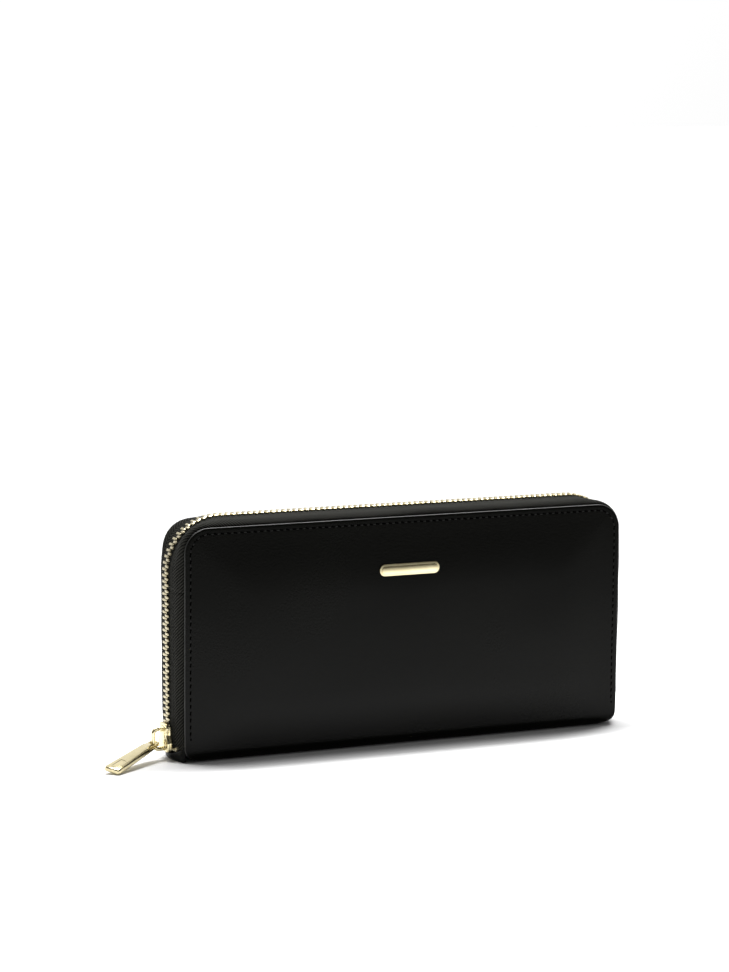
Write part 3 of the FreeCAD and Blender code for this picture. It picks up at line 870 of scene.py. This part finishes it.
def puller_mesh():
    """Tapered bar and eyelet, length along -X, as in the CAD."""
    length, narrow, wide, h = 29.4, 4.6, 6.6, 1.05
    b = Builder()

    def section(x):
        t = (x + 2.0) / (-length + 2.0)
        w = (narrow + (wide - narrow) * max(0.0, t)) / 2
        hh = 0.62 + (h - 0.62) * smooth01((-x - 1.7) / 2.4)
        if x < -28.8:
            w -= 0.45 * ((-x - 28.8) / 0.6) ** 2
            hh -= 0.3 * ((-x - 28.8) / 0.6) ** 2
        c, f = 0.42, 0.24
        outline = [(-w, -hh + c), (-w + 0.08, -hh + f), (-w + c, -hh), (w - c, -hh),
                   (w - 0.08, -hh + f), (w, -hh + c), (w, hh - c), (w - 0.10, hh - f + 0.06),
                   (w - c, hh), (-w + c, hh), (-w + 0.10, hh - f + 0.06), (-w, hh - c)]
        return [(x, y, z) for y, z in outline]

    xs = [-1.7, -2.6, -4.2, -8, -12, -16, -20, -24, -28.7, -29.2, -29.4]
    b.add(*loft([section(x) for x in xs]))
    # eyelet: a ring of small thickness with an oblong hole
    outer, inner = [], []
    for a in turns(40):
        ca, sa = math.cos(a), math.sin(a)
        ex = (abs(ca) ** 0.7) * (1 if ca > 0 else -1)
        ey = (abs(sa) ** 0.7) * (1 if sa > 0 else -1)
        outer.append((-0.2 + 2.4 * ex, 2.0 * ey))
        inner.append((1.5 * ex, 1.1 * ey))
    prof = [(0.0, 0.42), (0.12, 0.56), (0.3, 0.6), (0.7, 0.6), (0.88, 0.56), (1.0, 0.42),
            (1.0, -0.42), (0.88, -0.56), (0.7, -0.6), (0.3, -0.6), (0.12, -0.56), (0.0, -0.42)]
    verts = [(o[0] + (i[0] - o[0]) * t, o[1] + (i[1] - o[1]) * t, z)
             for t, z in prof for o, i in zip(outer, inner)]
    b.add(verts, grid_faces(len(prof), len(outer), closed=True))
    # plain raised frame near the tip
    frame_out = stadium(-27.6, -20.4, -1.75, 1.75, 0.7, 5)
    frame_in = stadium(-27.2, -20.8, -1.35, 1.35, 0.45, 5)
    levels = ((frame_out, h - 0.02), (frame_out, h + 0.10), (frame_in, h + 0.10),
              (frame_in, h - 0.02))
    verts = [(x, y, z) for pts, z in levels for x, y in pts]
    b.add(verts, grid_faces(len(levels), len(frame_out)))
    return b


YAW, TILT, ROLL = math.radians(36.4), math.radians(10.0), math.radians(12.0)
puller_place = (Matrix.Translation((-CHAIN_X - CROWN_OUT, 0, EYELET_Z)) @ Matrix.Rotation(YAW, 4, "Z")
                @ Matrix.Rotation(-TILT, 4, "Y") @ Matrix.Rotation(ROLL, 4, "X"))
b = puller_mesh()
b.verts = [tuple(puller_place @ Vector(v)) for v in b.verts]
attach(b.object("puller_bar", GOLD, 40), "puller", "gold_metal", "puller")


# ---- ornament ------------------------------------------------------------
low, high = box_mm("front_ornament")
mid = (low + high) / 2
b = Builder()
face = low.y - hide_lift(mid.x, mid.z, -1) - splay(mid.z, -1)
rear = face + high.y - low.y + 0.3
outer = stadium(low.x, high.x, low.z, high.z, 2.2, 8)
inset = stadium(low.x + 0.9, high.x - 0.9, low.z + 0.9, high.z - 0.9, 1.35, 8)
b.add(*prism(outer, 1, face + 0.25, rear, 0.22, 3))
b.add(*prism(inset, 1, face, face + 0.5, 0.2, 2))
ob = b.object("front_bar", GOLD, 35)
attach(ob, "front_cover", "gold_metal", "front_ornament")


# ---- end tabs and stops --------------------------------------------------
TABS = {    # half section as (|y|, out from the leather), then levels
    "left": ([(9.9, -1.6), (9.95, -0.3), (9.6, 0.4), (8.4, 1.0), (6.6, 1.6), (5.0, 2.2),
              (3.4, 2.9), (1.6, 3.4)],
             [(0.06, 0.5, 0.0), (0.1, 0.6, 0.0), (0.6, 0.8, 0.0), (1.5, 0.96, 0.0),
              (3.0, 1.06, 0.3), (5.0, 1.04, 1.7), (5.7, 0.9, 2.2), (5.8, 0.6, 2.3)]),
    "right": ([(9.3, -1.6), (9.4, -0.2), (9.3, 0.4), (8.6, 1.0), (7.4, 1.7), (6.0, 2.4),
               (4.0, 3.2), (2.0, 4.0)],
              [(1.0, -0.6, 0.0), (1.6, 0.0, 0.0), (3.0, 0.5, 0.0), (5.4, 0.85, 0.0),
               (9.0, 1.0, 0.0), (13.2, 1.0, 0.0), (13.9, 0.95, 0.0), (14.0, 0.75, 0.0)]),
}


def tab_mesh(name, direction, half, levels):
    """Leather folded over the tape ends: a soft rounded cap whose upper rim
    dips in the middle.  levels are (height, share of full depth, dip)."""
    rings = []
    for z, k, dip in levels:
        ring = []
        for y, out in half + [(-y, n) for y, n in reversed(half)]:
            w = 0.08 * noise.noise(Vector((y / 3.0, z / 3.0, direction * 5.0)))
            depth = out * k if out > 0 else out + 2 * min(k, 0.0)
            middle = 1 - smooth01((abs(y) - 4.6) / 3.0)
            narrow = 0.8 + 0.2 * smooth01(k / 0.9)
            ring.append((direction * (HALF + depth + w), y * narrow, z - dip * middle))
        rings.append(ring)
    ob = sweep(name, SKIN, rings)
    mod = ob.modifiers.new("soft", "SUBSURF")
    mod.levels = mod.render_levels = 2
    bpy.context.view_layer.update()
    dg = bpy.context.evaluated_depsgraph_get()
    me = bpy.data.meshes.new_from_object(ob.evaluated_get(dg))
    ob.modifiers.clear()
    ob.data = me
    return ob


for end, direction in (("left", -1), ("right", 1)):
    ob = tab_mesh("end_tab_%s_leather" % end, direction, *TABS[end])
    attach(ob, "spine", "black_leather", "end_tab_" + end)

for name, side in SIDES:
    b = Builder()
    place = Matrix.Translation((-97.0, side * 7.4, 5.3)) @ Matrix.Rotation(side * 0.7, 4, "X")
    b.add(*prism(stadium(-0.6, 0.6, -0.55, 0.55, 0.25, 3), 1, -0.9, 0.9, 0.18, 2), place)
    ob = b.object(name + "_stop", TEETH, 35)
    attach(ob, name + "_cover", "zip_metal", name + "_zip_stop")


# ---- inside: linings, card pockets, coin pocket, gussets ----------------
def layer(name, node, mat, edge_wave=0.0, seed=0.0, top_radius=1.5, lying=False):
    """A thin flat piece from its CAD box, thinner at its rim, with cut top
    corners and a top edge that is not quite straight."""
    low, high = box_mm(node)
    if lying:
        low, high = low.xzy, high.xzy
    nx, nz = 40, 14
    mid = (low.y + high.y) / 2
    grid = {}
    verts, faces = [], []

    def point(i, j, y):
        v = j / nz
        x = low.x + (high.x - low.x) * i / nx
        z = low.z + (high.z - low.z) * v
        cx, cz = min(x - low.x, high.x - x), high.z - z
        rim = min(cx, cz)
        if cx < top_radius and cz < top_radius:
            z -= (top_radius - cx) * 0.3
        z -= edge_wave * smooth01((v - 0.85) / 0.15) * (
            0.5 + 0.5 * noise.noise(Vector((x / 25.0, seed, 0))))
        y = mid + (y - mid) * (0.85 + 0.15 * smooth01(rim / 1.2))
        return (x, z, y) if lying else (x, y, z)

    for s, y in enumerate((low.y, high.y)):
        for j in range(nz + 1):
            for i in range(nx + 1):
                grid[s, i, j] = len(verts)
                verts.append(point(i, j, y))
    for s in (0, 1):
        for j in range(nz):
            for i in range(nx):
                faces.append((grid[s, i, j], grid[s, i + 1, j], grid[s, i + 1, j + 1],
                              grid[s, i, j + 1]))
    for i in range(nx):
        for j in (0, nz):
            faces.append((grid[0, i, j], grid[0, i + 1, j], grid[1, i + 1, j], grid[1, i, j]))
    for j in range(nz):
        for i in (0, nx):
            faces.append((grid[0, i, j], grid[0, i, j + 1], grid[1, i, j + 1], grid[1, i, j]))
    ob = mesh_object(name, verts, faces, mat)
    fix_normals(ob)
    sharp(ob, 50)
    return ob


for name, side in SIDES:
    for i in range(1, 5):
        node = "%s_card_pocket_%d" % (name, i)
        ob = layer(node + "_leather", node, INNER, 0.5, i * 3.0 + side)
        attach(ob, name + "_cover", "inner_leather", node)


def rounded_sheet(name, node, mat, radius):
    """Lining cut to the cover's outline, from its CAD box."""
    low, high = box_mm(node)
    cx, cz = high.x - radius, high.z - radius
    rim = [(-high.x, low.z)]
    rim += [(-high.x, low.z + (cz - low.z) * i / 10) for i in range(1, 10)]
    rim += arc(-cx, cz, radius, 180, 90, 10)
    rim += [(-cx + 2 * cx * i / 24, high.z) for i in range(1, 24)]
    rim += arc(cx, cz, radius, 90, 0, 10)
    rim += [(high.x, cz - (cz - low.z) * i / 10) for i in range(1, 11)]
    n = len(rim)
    verts = [(x, y, z) for y in (low.y, high.y) for x, z in rim]
    rings = [list(range(n)), list(range(n, 2 * n))]
    faces = []
    for i in range(n):
        j = (i + 1) % n
        faces.append((rings[0][i], rings[0][j], rings[1][j], rings[1][i]))
    for ring in rings:
        for t in range(1, 6):
            k = t / 5
            new = list(range(len(verts), len(verts) + n))
            verts += [(x + (max(-cx * 0.8, min(cx * 0.8, x)) - x) * k, verts[ring[0]][1],
                       z + (45.0 - z) * k) for x, z in rim]
            for i in range(n):
                j = (i + 1) % n
                faces.append((ring[i], ring[j], new[j], new[i]))
            ring = new
        faces.append(tuple(ring))
    ob = mesh_object(name, verts, faces, mat)
    fix_normals(ob, merge=1e-6)
    sharp(ob, 40)
    return ob


for name, side in SIDES:
    ob = rounded_sheet(name + "_lining_cloth", name + "_lining", LINING, 8.5)
    attach(ob, name + "_cover", "lining_fabric", name + "_lining")

for name, side in SIDES:
    node = "coin_pocket_" + name
    ob = layer(node + "_leather", node, INNER, 0.0, 7.0, top_radius=0.0)
    attach(ob, "spine", "inner_leather", node)


def gusset(name, side, end):
    """Pleat from the cover's lining to the coin pocket, as one soft band."""
    pts = [(-89.0, 8.4), (-87.2, 8.42), (-85.6, 8.35), (-84.2, 7.8), (-82.0, 6.9),
           (-78.5, 6.1), (-75.4, 5.5), (-74.5, 5.2), (-75.4, 4.95), (-78.5, 4.5),
           (-82.0, 3.95), (-83.4, 3.7)]
    rings = []
    for j in range(31):
        z = 6.0 + 66.0 * j / 30
        rings.append([
            (-end * (x + 0.25 * noise.noise(Vector((x / 6.0, z / 14.0, side + end)))), side * y, z)
            for x, y in band_outline(pts, 0.17)])
    return sweep(name, INNER, rings)


for name, side in SIDES:
    for end, where in ((-1, "left"), (1, "right")):
        node = "gusset_%s_%s" % (name, where)
        ob = gusset(node + "_pleat", side, end)
        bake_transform(ob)
        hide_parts(node)


# ---- coin pocket's edge strip, zip and the spine's lining ----------------
def pocket_edge(name):
    """Strip round three sides of the coin pocket, pushed in along its middle."""
    low, high = box_mm("coin_pocket_edge")
    w, h, r = high.x - 0.25, low.z + 0.25, 3.0
    path = [(-w, high.z - 6.0 * i) for i in range(10)]
    path += arc(-w + r, h + r, r, 180, 270, 6)
    path += [(x, h) for x in range(-72, 73, 8)]
    path += arc(w - r, h + r, r, 270, 360, 6)
    path += [(w, high.z - 6.0 * i) for i in reversed(range(10))]
    ys = [high.y * k / 4 for k in range(-4, 5)]
    rings = []
    for x, z, tx, tz in with_tangents(path):
        dent = 0.9 + 0.3 * noise.noise(Vector((x / 12.0, z / 12.0, 2.0)))
        one = [(y, dent * (1 - (y / high.y) ** 2) - 0.2) for y in ys]
        two = [(y, n + 0.4) for y, n in reversed(one)]
        rings.append([(x - tz * n, y, z + tx * n) for y, n in one + two])
    return sweep(name, INNER, rings)


def coin_tape(name, side):
    z = COIN_Z
    line = [(1.1, z), (1.7, z), (2.3, z), (2.8, z - 0.04), (3.12, z - 0.22), (3.25, z - 0.6),
            (3.27, z - 1.5), (3.27, z - 3.4), (3.27, z - 5.3)]
    dist = [0.0]
    for a, b in zip(line, line[1:]):
        dist.append(dist[-1] + math.hypot(b[0] - a[0], b[1] - a[1]))
    rings, uvs = [], []
    for i in range(61):
        x = -79.0 + 158.0 * i / 60
        wave = 0.12 * noise.noise(Vector((x / 9.0, side, 0.0)))
        rings.append([(x, side * y, h + wave) for y, h in band_outline(line, 0.15)])
        uvs += [(x, v) for v in dist + dist[::-1]]
    return sweep(name, COIN_TAPE, rings, uvs)


def coin_teeth(name, side):
    verts, faces = tooth(COIN_SCALE)
    b = Builder()
    x = COIN_X + 0.2 + (0.0 if side < 0 else COIN_PITCH / 2)
    while x < 78.0:
        place = Matrix.Translation((x, 0, COIN_Z)) @ Matrix.Rotation(math.pi / 2, 4, "Y")
        b.add(verts, faces, place @ Matrix.Diagonal((1, side, 1, 1)))
        x += COIN_PITCH
    return b.object(name, TEETH, 30)


attach(pocket_edge("coin_pocket_strip"), "spine", "inner_leather", "coin_pocket_edge")

for name, side in SIDES:
    for kind, make, slot in (("coin_tape_", coin_tape, "zip_tape"),
                             ("coin_teeth_", coin_teeth, "zip_metal")):
        node = kind + name
        ob = make(node + "_run", side)
        attach(ob, "spine", slot, node)
        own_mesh(ob)

ear = [(COIN_X - 1.0, 70.0), (COIN_X + 1.0, 70.0)] + arc(COIN_X, COIN_PIN_Z, 1.0, 0, 180, 10)
ears = [prism(ear, 1, low, high, 0.12, 2) for low, high in ((-1.5, -0.95), (0.95, 1.5))]
coin_place = Matrix.Translation((COIN_X, 0, COIN_Z)) @ Matrix.Rotation(math.pi / 2, 4, "Y")
ob = slider_mesh("coin_slider_metal", COIN_SCALE, coin_place, False, ears)
attach(ob, "coin_slider", "gold_metal", "coin_slider")

ob = layer("spine_lining_cloth", "spine_lining", LINING, lying=True)
attach(ob, "spine", "lining_fabric", "spine_lining")


# ---- floor, light, camera ------------------------------------------------
def floor_sheet():
    """A flat white floor, 60 m wide.  It glows faintly far behind the object,
    and more strongly in front of it beyond the contact shadow."""
    mat = Mat("studio_paper")
    co = mat.coords()
    sep = mat.node("ShaderNodeSeparateXYZ")
    mat.link(co, sep.inputs[0])

    def band(y0, y1, low, high):
        grade = mat.node("ShaderNodeMapRange", interpolation_type="SMOOTHSTEP")
        for key, value in zip(("From Min", "From Max", "To Min", "To Max"), (y0, y1, low, high)):
            grade.inputs[key].default_value = value
        mat.link(sep.outputs["Y"], grade.inputs["Value"])
        return grade.outputs["Result"]

    behind = band(0.15, 1.2, 0.0, 0.6)
    ahead = mat.math("MULTIPLY", band(-0.36, -0.06, 0.0, 1.0), band(-0.045, -0.014, 1.0, 0.0))
    mat.link(mat.math("ADD", behind, ahead), mat.b.inputs["Emission Strength"])
    a = mat.noise(co, 3.0, 2)
    mat.out(mat.ramp(a, [(0.3, (0.90, 0.90, 0.90)), (0.7, (0.92, 0.92, 0.92))]),
            mat.range(a, 0.85, 0.95), Specular_IOR_Level=0.1, Emission_Color=(1.0, 1.0, 1.0, 1.0))
    size = 30000.0    # mm each way
    verts = [(-size, -size, 0), (size, -size, 0), (size, size, 0), (-size, size, 0)]
    ob = mesh_object("studio_floor", verts, [(0, 1, 2, 3)], mat.m, smooth=False)


floor_sheet()


def area(name, location, target, power, width, depth):
    data = bpy.data.lights.new(name, "AREA")
    data.energy = power
    data.shape = "RECTANGLE"
    data.size = width
    data.size_y = depth
    ob = bpy.data.objects.new(name, data)
    ob.location = location
    ob.rotation_euler = (Vector(target) - Vector(location)).to_track_quat("-Z", "Y").to_euler()
    bpy.context.scene.collection.objects.link(ob)


def studio_world(front, back):
    """Soft surround, brighter above and behind the object than in front."""
    world = bpy.data.worlds.new("studio_world")
    bpy.context.scene.world = world
    world.use_nodes = True
    tree = world.node_tree
    coord = tree.nodes.new("ShaderNodeTexCoord")
    dot = tree.nodes.new("ShaderNodeVectorMath")
    dot.operation = "DOT_PRODUCT"
    dot.inputs[1].default_value = (0.0, 0.95, 0.30)
    tree.links.new(coord.outputs["Generated"], dot.inputs[0])
    grade = tree.nodes.new("ShaderNodeMapRange")
    for key, value in (("From Max", 0.9), ("To Min", front), ("To Max", back)):
        grade.inputs[key].default_value = value
    tree.links.new(dot.outputs["Value"], grade.inputs["Value"])
    ground = tree.nodes["Background"]
    ground.inputs["Color"].default_value = (1.0, 1.0, 1.0, 1.0)
    tree.links.new(grade.outputs["Result"], ground.inputs["Strength"])


studio_world(0.10, 1.08)
area("key_top", (0.08, 0.15, 0.62), (0.08, 0.10, 0.0), power=8.6, width=0.8, depth=0.16)

scene = bpy.context.scene
scene.view_settings.view_transform = "Standard"
scene.view_settings.look = "None"
scene.view_settings.exposure = 0.0
scene.view_settings.gamma = 1.0

AZIMUTH, PITCH_DOWN = math.radians(-24.12), math.radians(7.178)
DISTANCE, FOCAL_PX = 1.206157, 3030.68
TARGET = Vector((-0.013784, 0.0, 0.103349))
PICTURE_PX = 972       # the picture's longer side
SENSOR = 36.0
back = Vector((math.sin(AZIMUTH) * math.cos(PITCH_DOWN),
               -math.cos(AZIMUTH) * math.cos(PITCH_DOWN), math.sin(PITCH_DOWN)))
cam_data = bpy.data.cameras.new("camera")
cam = bpy.data.objects.new("camera", cam_data)
scene.collection.objects.link(cam)
cam.location = TARGET + back * DISTANCE
cam.rotation_euler = (-back).to_track_quat("-Z", "Y").to_euler()
cam_data.sensor_width = SENSOR
cam_data.lens = FOCAL_PX / PICTURE_PX * SENSOR
cam_data.clip_start = 0.01
cam_data.clip_end = 200.0
scene.camera = cam
